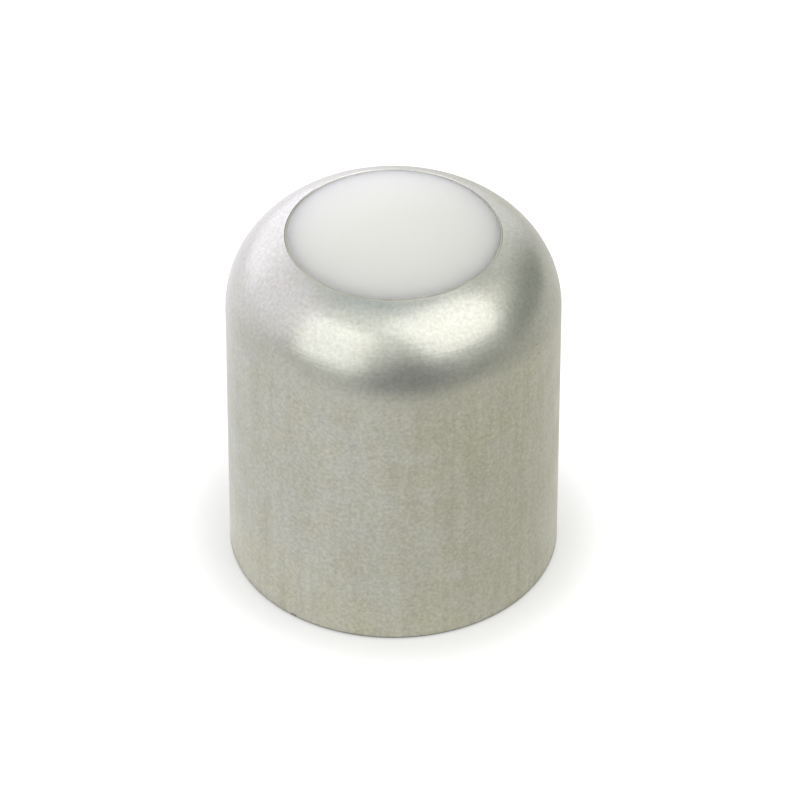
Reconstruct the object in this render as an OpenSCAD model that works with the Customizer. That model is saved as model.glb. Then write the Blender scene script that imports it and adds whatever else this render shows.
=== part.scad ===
// A light sensor head for photosynthetically active radiation. A thick turned housing with a
// round shoulder carries an opal diffuser on top. Below the diffuser hang two glass filters, a
// photodiode and its amplifier board, and a screwed base plate with a tapped hole closes the
// bottom. The lead wire leaves at the rear through a small gland.
//
// Frame: millimetres, +Z up along the axis of the housing, origin at the centre of the base,
// +Y towards the rear, where the gland is.
//
// The sizes run from the inside out. The photodiode sets the filter holder, the holder and the
// screws set the bores, and the walls set the outside, which comes out 30.5 mm in diameter.
// The heights add up from the base plate to the diffuser's crown, 36.8 mm above the base.

/* [Housing] */
// Radius of the round shoulder
shoulder_r = 8.6; // [7:0.1:11]
// Wall around the base plate
rim_wall = 1.8; // [1.4:0.05:2.2]
// Metal between a tapped hole and the bore beside it
screw_wall = 0.3; // [0.25:0.01:0.4]
// Metal between the base screws' heads and the bore for the base plate
base_edge = 0.42; // [0.4:0.01:0.6]
// Room in height between base plate and circuit board
cavity_h = 13.45; // [12:0.05:16]
// Round on the housing's bottom edge
edge_round = 0.4; // [0.2:0.05:0.8]
// Bevel on the base plate's edges
edge_break = 0.22; // [0.1:0.01:0.4]
// Bevel on the edge around the diffuser
rim_break = 0.1; // [0.05:0.01:0.15]

/* [Diffuser] */
// Diameter of the diffuser
diffuser_d = 19.2; // [17:0.05:22.8]
// Height of the diffuser's straight side
diffuser_t = 3.75; // [3:0.05:4.5]
// Rise of the crown above the rim
crown_rise = 1.8; // [1.2:0.05:2.2]
// How far the diffuser's straight side stands above the rim
side_rise = 0.05; // [0.02:0.01:0.3]
// Round on the diffuser's upper edge
diffuser_round = 0.15; // [0.1:0.01:0.3]
// Width of the bond line around the diffuser
bond_w = 0.18; // [0.1:0.01:0.25]
// How far the bond lies below the rim
bond_recess = 0.08; // [0.04:0.01:0.2]
// Thickness of the lip that the diffuser sits on
lip_t = 1.5; // [1.2:0.05:2]
// How far the lip reaches over the filter holder
lip_overlap = 1.15; // [0.9:0.05:1.4]

/* [Filter holder] */
// Wall of the filter holder
holder_wall = 1.6; // [1.3:0.05:1.9]
// Thickness of the aperture plate
aperture_t = 0.8; // [0.6:0.05:1]
// Diameter of the aperture
aperture_d = 5.2; // [4:0.1:6]
// Diameter of the filters
filter_d = 11; // [9.5:0.1:12.5]
// Thickness of the coloured glass filter
glass_filter_t = 2; // [1.5:0.1:2.4]
// Thickness of the coated filter
coated_filter_t = 1; // [0.8:0.1:1.2]
// Bevel on the filters' edges
filter_bevel = 0.15; // [0.05:0.01:0.25]
// Thickness of the spacer between the filters
spacer_t = 0.5; // [0.4:0.05:0.7]
// Thickness of the ring that holds the filters
retainer_t = 1.2; // [1:0.05:1.5]
// Width of the spacer's and the retainer's ring
filter_ring_w = 0.9; // [0.7:0.05:1.1]
// Width of the spanner slot across the retainer
retainer_slot_w = 0.8; // [0.6:0.05:1]
// Depth of the retainer's spanner slot
retainer_slot_t = 0.5; // [0.3:0.05:0.7]
// How far the retainer lies below the holder's top
retainer_recess = 0.3; // [0.2:0.05:0.5]
// Thickness of the gasket between holder and board
gasket_t = 0.5; // [0.4:0.05:0.6]
// Width of that gasket
gasket_w = 1.8; // [1.4:0.1:2.1]

/* [Photodiode] */
// Diameter of the can
can_d = 8.2; // [7:0.1:9.6]
// Height of the can above its flange
can_h = 3.3; // [2.8:0.1:3.9]
// Thickness of the can's sheet metal
can_wall = 0.25; // [0.2:0.01:0.3]
// Diameter of the can's window opening
can_opening_d = 6; // [5:0.1:6.6]
// Thickness of the can's window
can_window_t = 0.7; // [0.5:0.05:0.9]
// Width of the flange around the can
flange_w = 0.45; // [0.35:0.01:0.55]
// Thickness of the flange
flange_t = 0.5; // [0.4:0.05:0.6]
// Side of the tab on the flange
can_tab = 0.8; // [0.6:0.05:0.95]
// Gap between can and aperture plate
can_gap = 0.6; // [0.4:0.05:1]
// Side of the photodiode chip
chip_w = 3.6; // [2.4:0.1:4]
// Thickness of the photodiode chip
chip_t = 0.4; // [0.3:0.05:0.6]
// Thickness of the pad under the flange
pad_t = 0.5; // [0.4:0.05:0.6]
// Diameter of the pad under the flange
pad_d = 8; // [7.4:0.1:9.4]
// Diameter of the photodiode's pins
pin_d = 0.46; // [0.4:0.02:0.56]
// Diameter of the circle that the pins stand on
pin_circle_d = 5.08; // [4.6:0.02:5.8]
// Length of the pins below the board
pin_tail = 1; // [0.6:0.1:1.4]

/* [Circuit board] */
// Thickness of the board
board_t = 1.6; // [1.2:0.1:1.8]
// Diameter of the board screws
board_screw_d = 1.4; // [1.2:0.1:1.7]
// Length of the board screws under the head
board_screw_l = 4; // [3.3:0.1:4.8]
// Diameter of the board screws' heads
board_screw_head_d = 2.4; // [2:0.1:2.8]
// Height of the board screws' heads
board_screw_head_t = 0.9; // [0.7:0.05:1.1]
// Diameter of the trimmer's rotor
rotor_d = 3; // [2.4:0.1:3.6]
// Thickness of the trimmer's rotor
rotor_t = 1.1; // [0.9:0.05:1.3]
// Diameter of the terminals for the lead wires
terminal_d = 1.1; // [0.9:0.05:1.3]
// Height of the terminals below the board
terminal_h = 2.4; // [2:0.1:2.9]

/* [Base plate] */
// Thickness of the base plate
base_t = 4; // [3.4:0.1:4.8]
// Bore of the tapped hole for the mounting screw
thread_bore_d = 4.04; // [3.4:0.01:4.8]
// Depth of the tapped hole
thread_depth = 7; // [6:0.1:8.3]
// Wall of the boss around the tapped hole
boss_wall = 2.5; // [2:0.1:3]
// Floor between the tapped hole and the boss's top
boss_floor = 1; // [0.8:0.05:1.2]
// Section of the base plate's sealing ring
seal_section = 1; // [0.8:0.05:1.2]
// Diameter of the base screws
base_screw_d = 2; // [1.7:0.1:2.3]
// Length of the base screws
base_screw_l = 8; // [6.8:0.1:9.5]
// Diameter of the base screws' heads
base_screw_head_d = 3.8; // [3.2:0.1:4.5]
// Height of the base screws' heads
base_screw_head_t = 1.1; // [0.9:0.05:1.3]
// Width across the flats of the base screws' sockets
base_socket_w = 1.3; // [1.1:0.05:1.5]

/* [Gland] */
// Height of the gland's axis above the base plate's top
entry_rise = 5; // [4.2:0.1:5.9]
// Bore of the bush, for the lead wire
cable_bore_d = 4.4; // [3.7:0.1:5.2]
// Wall of the bush's nose
nose_wall = 0.6; // [0.5:0.05:0.7]
// Length of the bush's nose
nose_l = 1.4; // [1.2:0.1:1.6]
// Length of the bush's flange
bush_l = 1.8; // [1.6:0.1:2.1]
// Thickness of the gland's washer
washer_t = 0.4; // [0.3:0.05:0.5]
// Gap around the lead wire in the gland nut and its washer
wire_gap = 0.3; // [0.2:0.05:0.4]
// Wall of the gland nut's thread
gland_wall = 1; // [0.8:0.05:1.2]
// Length of the gland nut's thread
gland_thread_l = 1.9; // [1.6:0.1:2.2]
// How far the hexagon's flats stand out from the thread
hex_edge = 0.5; // [0.4:0.05:0.6]
// Thickness of the gland nut's hexagon
hex_t = 2.3; // [1.9:0.1:2.8]
// Depth of the flat that is milled for the gland
spot_depth = 1; // [0.8:0.05:1.2]
// Gap between the gland nut and that flat
hex_gap = 0.3; // [0.25:0.05:0.5]
// Round at the gland nut's mouth
gland_flare = 0.5; // [0.4:0.05:0.6]

/* [Hidden] */
$fn = 96;

// How far a cut runs past the face that it starts from
overrun = 1;
// Diagonal of a square of side 1
diagonal = sqrt(2);
// Half of a hexagon's width across its corners, for a width of 1 across its flats
hex_corner = 1 / sqrt(3);

// Clearances on the radius
can_fit = 0.4;
filter_fit = 0.1;
retainer_fit = 0.03;
glass_fit = 0.05;
holder_fit = 0.05;
pin_fit = 0.07;
thread_fit = 0.03;
screw_fit = 0.1;
head_fit = 0.05;
head_room = 0.17;
board_fit = 0.2;
rotor_fit = 0.04;
base_fit = 0.05;
gland_fit = 0.05;
washer_fit = 0.1;
spot_fit = 0.4;

// Colours
aluminium = [0.72, 0.72, 0.69];
opal = [0.93, 0.94, 0.92];
adhesive = [0.32, 0.32, 0.3];
black_acetal = [0.06, 0.06, 0.065];
blue_glass = [0.35, 0.6, 0.66, 0.6];
coated_glass = [0.7, 0.55, 0.72, 0.6];
clear_glass = [0.85, 0.9, 0.9, 0.4];
rubber = [0.05, 0.05, 0.05];
gold = [0.83, 0.66, 0.3];
nickel = [0.74, 0.73, 0.7];
steel = [0.6, 0.6, 0.6];
silicon = [0.1, 0.12, 0.2];
nylon = [0.88, 0.87, 0.82];
laminate = [0.07, 0.3, 0.16];
moulding = [0.09, 0.09, 0.1];
blue_plastic = [0.12, 0.28, 0.6];
tantalum_yellow = [0.8, 0.6, 0.15];
ceramic_tan = [0.6, 0.48, 0.34];

// Photodiode and filters, from the axis out
pin_r = pin_d / 2;
pin_head = 0.3;
pin_angles = [0, 90, 270];
tab_angle = 45;
can_r = can_d / 2;
can_inner_r = can_r - can_wall;
flange_r = can_r + flange_w;
can_room_r = flange_r + can_tab + can_fit;
filter_r = filter_d / 2;
pocket_r = filter_r + filter_fit;
holder_r = max(can_room_r, pocket_r) + holder_wall;

// Bores and outside of the housing, from the holder out
optics_bore_r = holder_r + holder_fit;
lip_r = holder_r - lip_overlap;
board_screw_r = board_screw_d / 2;
board_screw_head_r = board_screw_head_d / 2;
board_screw_ring_r = optics_bore_r + screw_wall + thread_fit + board_screw_r;
cavity_r = board_screw_ring_r + board_screw_head_r + head_room;
board_r = cavity_r - board_fit;
base_screw_r = base_screw_d / 2;
base_screw_head_r = base_screw_head_d / 2;
base_screw_ring_r = cavity_r + screw_wall + thread_fit + base_screw_r;
base_bore_r = base_screw_ring_r + base_screw_head_r + base_edge;
base_r = base_bore_r - base_fit;
body_r = base_bore_r + rim_wall;
diffuser_r = diffuser_d / 2;
window_bore_r = diffuser_r + bond_w;

// Heights, from the base plate up
board_z = base_t + cavity_h;
board_top_z = board_z + board_t;
holder_z = board_top_z + gasket_t;
flange_z = board_top_z + pad_t;
can_z = flange_z + flange_t;
aperture_z = can_z + can_h + can_gap;
glass_filter_z = aperture_z + aperture_t;
spacer_z = glass_filter_z + glass_filter_t;
coated_filter_z = spacer_z + spacer_t;
retainer_z = coated_filter_z + coated_filter_t;
lip_z = retainer_z + retainer_t + retainer_recess;
seat_z = lip_z + lip_t;
rim_z = seat_z + diffuser_t;
top_z = rim_z + crown_rise;

// The shoulder's centre, which puts the round through the rim where the diffuser starts
shoulder_x = body_r - shoulder_r;
rim_cos = max(0, window_bore_r - shoulder_x) / shoulder_r;
shoulder_z = rim_z - shoulder_r * sqrt(1 - rim_cos * rim_cos);
crown_h = crown_rise - side_rise;
crown_r = (diffuser_r * diffuser_r + crown_h * crown_h) / (2 * crown_h);
crown_z = top_z - crown_r;

// The centre of the round on the diffuser's edge, and where it runs into the crown
round_x = diffuser_r - diffuser_round;
round_z = crown_z + sqrt(pow(crown_r - diffuser_round, 2) - round_x * round_x);
crown_edge_x = round_x * crown_r / (crown_r - diffuser_round);

// Screws
screw_angles = [30, 150, 270];
screw_end_room = 0.6;
board_screw_slot_w = 0.4;
board_screw_slot_t = 0.45;
base_head_sink = 0.05;
base_socket_depth_share = 0.6;

// Parts on the board's underside: places as shares of the board's radius, turns in degrees
moulding_bevel = 0.12;
amplifier_size = [3.9, 4.9, 1.5];
amplifier_lift = 0.1;
amplifier_place_shares = [0.37, -0.42];
lead_count = 4;
lead_pitch = 1.27;
lead_w = 0.42;
lead_t = 0.2;
lead_reach = 1.05;
lead_foot = 0.55;
trimmer_size = [4.5, 4.5, 2.6];
trimmer_place_shares = [-0.43, -0.4];
rotor_r = rotor_d / 2;
rotor_stand = 0.15;
rotor_slot_w = 0.45;
rotor_slot_t = 0.5;
tantalum_size = [3.5, 2.8, 1.9];
tantalum_place_shares = [-0.51, 0.12];
resistor_size = [2, 1.25, 0.5];
resistor_place_shares = [[0.47, 0.06], [0.45, 0.25], [0.8, 0.03]];
resistor_turns = [0, 0, 90];
capacitor_size = [1.6, 0.8, 0.8];
capacitor_place_shares = [[-0.23, 0.46], [0.23, 0.46], [-0.06, -0.53]];
capacitor_turns = [0, 0, 90];
chip_cap_share = 0.22;
chip_cap_skin = 0.04;
terminal_place_shares = [[-0.27, 0.69], [0, 0.69], [0.27, 0.69]];
terminal_waist_share = 0.6;
terminal_collar_share = 0.25;

// Base plate
thread_bore_r = thread_bore_d / 2;
drill_point_share = 0.3;
drill_point_h = thread_bore_d * drill_point_share;
boss_r = thread_bore_r + boss_wall;
boss_h = thread_depth + drill_point_h + boss_floor;
boss_bevel = 0.4;
seal_squeeze_share = 0.15;
seal_groove_share = 1.3;
seal_height_share = 0.6;
groove_w = seal_section * seal_groove_share;
groove_r = base_bore_r - seal_section * (1 - seal_squeeze_share);
seal_z = base_t * seal_height_share;

// Gland, from the wire out and, along +Y, from the hexagon in
entry_z = base_t + entry_rise;
cable_bore_r = cable_bore_d / 2;
nose_r = cable_bore_r + nose_wall;
nose_hole_r = nose_r + gland_fit;
gland_bore_r = cable_bore_r + wire_gap;
gland_thread_r = gland_bore_r + gland_wall;
gland_hole_r = gland_thread_r + gland_fit;
washer_r = gland_hole_r - washer_fit;
hex_w = 2 * (gland_thread_r + hex_edge);
hex_r = hex_w * hex_corner;
hex_bevel = 0.35;
spot_r = hex_r + spot_fit;
spot_y = body_r - spot_depth;
hex_y = spot_y + hex_gap;
washer_y = hex_y - gland_thread_l - washer_t;
bush_y = washer_y - bush_l;

// The outline of a disc with bevelled edges, for turning
module bevelled_outline(r, h, bevel) {
    polygon([
        [0, 0], [r - bevel, 0], [r, bevel],
        [r, h - bevel], [r - bevel, h], [0, h]
    ]);
}

// A turned disc with bevelled edges
module bevelled_disc(r, h, bevel) {
    rotate_extrude()
        bevelled_outline(r, h, bevel);
}

// A flat ring that stands on z = 0
module ring(outer_r, inner_r, h) {
    linear_extrude(height = h)
        difference() {
            circle(r = outer_r);
            circle(r = inner_r);
        }
}

// A hexagonal prism of a given width across its flats
module hexagon(width, h) {
    cylinder(r = width * hex_corner, h = h, $fn = 6);
}

// A block that stands on z = 0, centred in x and y
module block(size) {
    translate([-size.x / 2, -size.y / 2, 0])
        cube(size);
}

// A moulded block with its upper edges bevelled
module moulded_block(size, bevel) {
    hull() {
        block([size.x, size.y, size.z - bevel]);
        block([size.x - 2 * bevel, size.y - 2 * bevel, size.z]);
    }
}

// A square that cuts a bevel of a given width along a turned corner at [r, z]
module turned_bevel(r, z, width) {
    translate([r, z])
        rotate(45)
            square(width * diagonal, center = true);
}

// Puts its children at each of the angles, on a circle
module around(angles, r) {
    for (angle = angles)
        rotate(angle)
            translate([r, 0, 0])
                children();
}

// Puts its children at a place on the board's underside, standing downwards
module under_board(place_shares, turn = 0) {
    translate([board_r * place_shares.x, board_r * place_shares.y, board_z])
        mirror([0, 0, 1])
            rotate(turn)
                children();
}

// Lays its children along the gland's axis, starting at a distance y from the housing's axis
module along_gland(y) {
    translate([0, y, entry_z])
        rotate([-90, 0, 0])
            children();
}

// A corner piece that cuts a round of a given radius along a turned lower edge at [r, z]
module turned_round(r, z, radius) {
    translate([r - radius, z])
        difference() {
            translate([0, -overrun])
                square(radius + overrun);
            translate([0, radius])
                circle(r = radius);
        }
}

// Half section of the housing's outside
module housing_outline() {
    intersection() {
        union() {
            square([body_r, shoulder_z]);
            translate([shoulder_x, shoulder_z])
                circle(r = shoulder_r);
            square([shoulder_x, shoulder_z + shoulder_r]);
        }
        square([body_r, shoulder_z + shoulder_r]);
    }
}

// Half section of what is bored out of the housing
module housing_bores() {
    translate([0, -overrun])
        square([base_bore_r, base_t + overrun]);
    square([cavity_r, board_top_z]);
    square([optics_bore_r, lip_z]);
    square([lip_r, seat_z]);
    translate([0, seat_z])
        square([window_bore_r, shoulder_z + shoulder_r]);
    turned_round(body_r, 0, edge_round);
    turned_bevel(window_bore_r, rim_z, rim_break);
}

// Turned housing with its round shoulder, stepped bore, tapped holes and gland seat
module housing() {
    color(aluminium)
        difference() {
            rotate_extrude()
                difference() {
                    housing_outline();
                    housing_bores();
                }
            around(screw_angles, base_screw_ring_r)
                cylinder(r = base_screw_r + thread_fit, h = base_screw_l + screw_end_room);
            around(screw_angles, board_screw_ring_r)
                translate([0, 0, board_z])
                    cylinder(r = board_screw_r + thread_fit, h = board_screw_l + screw_end_room);
            along_gland(spot_y)
                cylinder(r = spot_r, h = body_r);
            along_gland(bush_y)
                cylinder(r = gland_hole_r, h = body_r);
            along_gland(0)
                cylinder(r = nose_hole_r, h = bush_y + overrun);
        }
}

// Opal diffuser with a straight side, a crowned top and a round between them
module diffuser() {
    color(opal)
        rotate_extrude() {
            intersection() {
                translate([0, crown_z])
                    circle(r = crown_r, $fn = 360);
                translate([0, seat_z])
                    square([crown_edge_x, top_z - seat_z]);
            }
            translate([round_x, round_z])
                circle(r = diffuser_round);
            translate([0, seat_z])
                square([diffuser_r, round_z - seat_z]);
        }
}

// Adhesive that fills the gap around the diffuser
module diffuser_bond() {
    color(adhesive)
        translate([0, 0, seat_z])
            ring(window_bore_r, diffuser_r, diffuser_t - bond_recess);
}

// Black tube with an aperture plate, a pocket for the filters and room for the photodiode
module filter_holder() {
    color(black_acetal)
        difference() {
            translate([0, 0, holder_z])
                cylinder(r = holder_r, h = lip_z - holder_z);
            translate([0, 0, holder_z - overrun])
                cylinder(r = can_room_r, h = aperture_z - holder_z + overrun);
            translate([0, 0, aperture_z - overrun])
                cylinder(d = aperture_d, h = aperture_t + 2 * overrun);
            translate([0, 0, glass_filter_z])
                cylinder(r = pocket_r, h = lip_z);
        }
}

module glass_filter() {
    color(blue_glass)
        translate([0, 0, glass_filter_z])
            bevelled_disc(filter_r, glass_filter_t, filter_bevel);
}

module coated_filter() {
    color(coated_glass)
        translate([0, 0, coated_filter_z])
            bevelled_disc(filter_r, coated_filter_t, filter_bevel);
}

// Ring that keeps the two filters apart
module filter_spacer() {
    color(black_acetal)
        translate([0, 0, spacer_z])
            ring(filter_r, filter_r - filter_ring_w, spacer_t);
}

// Threaded ring that holds the filters down, with a slot for a pin spanner
module filter_retainer() {
    retainer_r = pocket_r - retainer_fit;
    color(black_acetal)
        translate([0, 0, retainer_z])
            difference() {
                ring(retainer_r, retainer_r - filter_ring_w, retainer_t);
                translate([-filter_d, -retainer_slot_w / 2, retainer_t - retainer_slot_t])
                    cube([2 * filter_d, retainer_slot_w, retainer_t]);
            }
}

// Soft ring that presses the holder against the lip
module holder_gasket() {
    color(rubber)
        translate([0, 0, board_top_z])
            ring(holder_r, holder_r - gasket_w, gasket_t);
}

// Drawn metal can with a round window opening in its top
module photodiode_can() {
    color(nickel)
        translate([0, 0, can_z])
            difference() {
                cylinder(r = can_r, h = can_h);
                translate([0, 0, -overrun])
                    cylinder(r = can_inner_r, h = can_h - can_wall + overrun);
                cylinder(d = can_opening_d, h = can_h + overrun);
            }
}

// Glass window, fused under the can's top
module photodiode_window() {
    color(clear_glass)
        translate([0, 0, can_z + can_h - can_wall - can_window_t])
            cylinder(r = can_inner_r - glass_fit, h = can_window_t);
}

// Gold-plated flange with its tab and the pins' holes
module photodiode_header() {
    color(gold)
        translate([0, 0, flange_z])
            difference() {
                union() {
                    cylinder(r = flange_r, h = flange_t);
                    rotate(tab_angle)
                        translate([0, -can_tab / 2, 0])
                            cube([flange_r + can_tab, can_tab, flange_t]);
                }
                around(pin_angles, pin_circle_d / 2)
                    translate([0, 0, -overrun])
                        cylinder(r = pin_r, h = flange_t + 2 * overrun);
            }
}

module photodiode_chip() {
    color(silicon)
        translate([0, 0, can_z])
            block([chip_w, chip_w, chip_t]);
}

// Three pins from the header down through the board
module photodiode_pins() {
    pin_z = board_z - pin_tail;
    color(gold)
        around(pin_angles, pin_circle_d / 2)
            translate([0, 0, pin_z])
                cylinder(r = pin_r, h = can_z + pin_head - pin_z);
}

// Insulating pad between flange and board
module photodiode_pad() {
    color(nylon)
        translate([0, 0, board_top_z])
            difference() {
                cylinder(d = pad_d, h = pad_t);
                around(pin_angles, pin_circle_d / 2)
                    translate([0, 0, -overrun])
                        cylinder(r = pin_r + pin_fit, h = pad_t + 2 * overrun);
            }
}

// Round board with holes for its screws and the photodiode's pins
module circuit_board() {
    color(laminate)
        translate([0, 0, board_z])
            difference() {
                cylinder(r = board_r, h = board_t);
                around(screw_angles, board_screw_ring_r)
                    translate([0, 0, -overrun])
                        cylinder(r = board_screw_r + screw_fit, h = board_t + 2 * overrun);
                around(pin_angles, pin_circle_d / 2)
                    translate([0, 0, -overrun])
                        cylinder(r = pin_r + pin_fit, h = board_t + 2 * overrun);
            }
}

// Amplifier's moulding, held clear of the board by its leads
module amplifier() {
    color(moulding)
        under_board(amplifier_place_shares)
            translate([0, 0, amplifier_lift])
                moulded_block(amplifier_size, moulding_bevel);
}

// One formed lead of the amplifier, from the moulding's side at x = 0 out to its foot
module lead() {
    knee_z = amplifier_lift + amplifier_size.z / 2;
    leg_x = lead_reach - lead_foot;
    translate([0, -lead_w / 2, knee_z])
        cube([leg_x, lead_w, lead_t]);
    translate([leg_x - lead_t, -lead_w / 2, 0])
        cube([lead_t, lead_w, knee_z + lead_t]);
    translate([leg_x - lead_t, -lead_w / 2, 0])
        cube([lead_foot + lead_t, lead_w, lead_t]);
}

module amplifier_leads() {
    last_step = (lead_count - 1) / 2;
    color(nickel)
        under_board(amplifier_place_shares)
            for (side = [0, 180], step = [-last_step : last_step])
                rotate(side)
                    translate([amplifier_size.x / 2, step * lead_pitch, 0])
                        lead();
}

// Puts its children at the floor of the well that the trimmer's rotor turns in
module at_rotor() {
    under_board(trimmer_place_shares)
        translate([0, 0, trimmer_size.z - rotor_t + rotor_stand])
            children();
}

// Square case of the gain trimmer, with the rotor's well
module trimmer_case() {
    color(blue_plastic)
        difference() {
            under_board(trimmer_place_shares)
                moulded_block(trimmer_size, moulding_bevel);
            at_rotor()
                cylinder(r = rotor_r + rotor_fit, h = rotor_t);
        }
}

// Rotor of the gain trimmer, with a cross slot
module trimmer_rotor() {
    color(nickel)
        at_rotor()
            difference() {
                cylinder(r = rotor_r, h = rotor_t);
                for (turn = [0, 90])
                    rotate(turn)
                        translate([-rotor_d, -rotor_slot_w / 2, rotor_t - rotor_slot_t])
                            cube([2 * rotor_d, rotor_slot_w, rotor_t]);
            }
}

module tantalum_capacitor() {
    color(tantalum_yellow)
        under_board(tantalum_place_shares)
            moulded_block(tantalum_size, moulding_bevel);
}

// A chip part: a body with a metal cap around each end
module chip_part(size) {
    cap_l = size.x * chip_cap_share;
    block([size.x - 2 * cap_l, size.y - 2 * chip_cap_skin, size.z - chip_cap_skin]);
    for (side = [-1, 1])
        translate([side * (size.x - cap_l) / 2, 0, 0])
            block([cap_l, size.y, size.z]);
}

module resistors() {
    color(moulding)
        for (i = [0 : len(resistor_turns) - 1])
            under_board(resistor_place_shares[i], resistor_turns[i])
                chip_part(resistor_size);
}

module capacitors() {
    color(ceramic_tan)
        for (i = [0 : len(capacitor_turns) - 1])
            under_board(capacitor_place_shares[i], capacitor_turns[i])
                chip_part(capacitor_size);
}

// Waisted terminals that the lead wires are soldered to
module lead_terminals() {
    terminal_r = terminal_d / 2;
    collar_h = terminal_h * terminal_collar_share;
    color(gold)
        for (place = terminal_place_shares)
            under_board(place) {
                cylinder(r = terminal_r, h = collar_h);
                cylinder(r = terminal_r * terminal_waist_share, h = terminal_h);
                translate([0, 0, terminal_h - collar_h])
                    cylinder(r = terminal_r, h = collar_h);
            }
}

// Slotted cheese-head screws that hold the board to the housing
module board_screws() {
    color(steel)
        around(screw_angles, board_screw_ring_r)
            translate([0, 0, board_z - board_screw_head_t])
                difference() {
                    union() {
                        cylinder(r = board_screw_r, h = board_screw_head_t + board_screw_l);
                        cylinder(r = board_screw_head_r, h = board_screw_head_t);
                    }
                    translate([-board_screw_head_d, -board_screw_slot_w / 2, -overrun])
                        cube([
                            2 * board_screw_head_d,
                            board_screw_slot_w,
                            board_screw_slot_t + overrun
                        ]);
                }
}

// Half section of the base plate and its boss
module base_outline() {
    difference() {
        union() {
            bevelled_outline(base_r, base_t, edge_break);
            bevelled_outline(boss_r, boss_h, boss_bevel);
        }
        translate([groove_r, seal_z - groove_w / 2])
            square([base_r, groove_w]);
    }
}

// Countersunk base plate with the tapped mounting hole in its boss
module base_plate() {
    color(aluminium)
        difference() {
            rotate_extrude()
                base_outline();
            translate([0, 0, -overrun])
                cylinder(r = thread_bore_r, h = thread_depth + overrun);
            translate([0, 0, thread_depth])
                cylinder(r1 = thread_bore_r, r2 = 0, h = drill_point_h);
            around(screw_angles, base_screw_ring_r) {
                translate([0, 0, -overrun])
                    cylinder(r = base_screw_r + screw_fit, h = base_t + 2 * overrun);
                translate([0, 0, -overrun])
                    cylinder(r = base_screw_head_r + head_fit, h = base_head_sink + overrun);
                translate([0, 0, base_head_sink])
                    cylinder(
                        r1 = base_screw_head_r + head_fit,
                        r2 = base_screw_r + head_fit,
                        h = base_screw_head_t
                    );
            }
        }
}

// Sealing ring, squeezed between the groove's floor and the housing
module base_seal() {
    color(rubber)
        rotate_extrude()
            intersection() {
                translate([(groove_r + base_bore_r) / 2, seal_z])
                    circle(d = seal_section);
                translate([groove_r, seal_z - seal_section])
                    square([base_bore_r - groove_r, 2 * seal_section]);
            }
}

// Countersunk socket screws that hold the base plate
module base_screws() {
    socket_depth = base_screw_head_t * base_socket_depth_share;
    color(steel)
        around(screw_angles, base_screw_ring_r)
            translate([0, 0, base_head_sink])
                difference() {
                    union() {
                        cylinder(r = base_screw_r, h = base_screw_l);
                        cylinder(r1 = base_screw_head_r, r2 = base_screw_r, h = base_screw_head_t);
                    }
                    translate([0, 0, -overrun])
                        hexagon(base_socket_w, socket_depth + overrun);
                }
}

// Rubber bush that seals on the lead wire: a flange in the gland's bore, a nose into the cavity
module gland_bush() {
    nose_y = bush_y - nose_l;
    color(rubber)
        difference() {
            union() {
                along_gland(bush_y)
                    cylinder(r = washer_r, h = bush_l);
                along_gland(nose_y)
                    cylinder(r = nose_r, h = nose_l);
            }
            along_gland(nose_y - overrun)
                cylinder(r = cable_bore_r, h = nose_l + bush_l + 2 * overrun);
        }
}

// Thrust washer between bush and nut
module gland_washer() {
    color(nickel)
        along_gland(washer_y)
            ring(washer_r, gland_bore_r, washer_t);
}

// Hollow hexagon screw that presses washer and bush together
module gland_nut() {
    thread_y = washer_y + washer_t;
    color(nickel)
        difference() {
            union() {
                along_gland(thread_y)
                    cylinder(r = gland_thread_r, h = gland_thread_l);
                along_gland(hex_y)
                    intersection() {
                        hexagon(hex_w, hex_t);
                        bevelled_disc(hex_r, hex_t, hex_bevel);
                    }
            }
            along_gland(thread_y - overrun)
                cylinder(r = gland_bore_r, h = gland_thread_l + hex_t + 2 * overrun);
            along_gland(hex_y + hex_t - gland_flare)
                cylinder(r1 = gland_bore_r, r2 = gland_bore_r + gland_flare, h = gland_flare);
        }
}

housing();
diffuser();
diffuser_bond();
filter_holder();
glass_filter();
filter_spacer();
coated_filter();
filter_retainer();
holder_gasket();
photodiode_can();
photodiode_window();
photodiode_header();
photodiode_chip();
photodiode_pins();
photodiode_pad();
circuit_board();
amplifier();
amplifier_leads();
trimmer_case();
trimmer_rotor();
tantalum_capacitor();
resistors();
capacitors();
lead_terminals();
board_screws();
base_plate();
base_seal();
base_screws();
gland_bush();
gland_washer();
gland_nut();
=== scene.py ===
# %% [markdown]
# This is the sensor head of a par meter: a turned aluminium can, 30.5 mm across and 36.8 mm high,
# with an opal disc bonded into its rounded top. Its sizes were settled as CAD parts, so this file
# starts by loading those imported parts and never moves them. All that follows is looks: the camera,
# the studio, the finishes, and a few pieces remade with more detail than the CAD parts need.

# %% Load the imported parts
import math

import bmesh
import bpy
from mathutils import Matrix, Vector, noise


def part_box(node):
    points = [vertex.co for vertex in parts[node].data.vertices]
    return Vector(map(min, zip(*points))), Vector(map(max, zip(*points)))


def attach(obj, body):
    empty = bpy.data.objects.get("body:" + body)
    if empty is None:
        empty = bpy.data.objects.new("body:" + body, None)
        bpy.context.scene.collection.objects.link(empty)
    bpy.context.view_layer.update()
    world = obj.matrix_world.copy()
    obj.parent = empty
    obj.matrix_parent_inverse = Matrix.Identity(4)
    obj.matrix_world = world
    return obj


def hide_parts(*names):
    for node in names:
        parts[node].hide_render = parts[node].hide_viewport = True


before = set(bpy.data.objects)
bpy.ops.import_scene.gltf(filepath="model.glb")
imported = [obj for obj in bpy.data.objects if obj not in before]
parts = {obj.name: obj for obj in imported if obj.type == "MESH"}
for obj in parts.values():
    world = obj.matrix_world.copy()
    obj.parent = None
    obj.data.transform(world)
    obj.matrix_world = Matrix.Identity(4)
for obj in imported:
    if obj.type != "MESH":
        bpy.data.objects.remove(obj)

scene = bpy.context.scene
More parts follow.
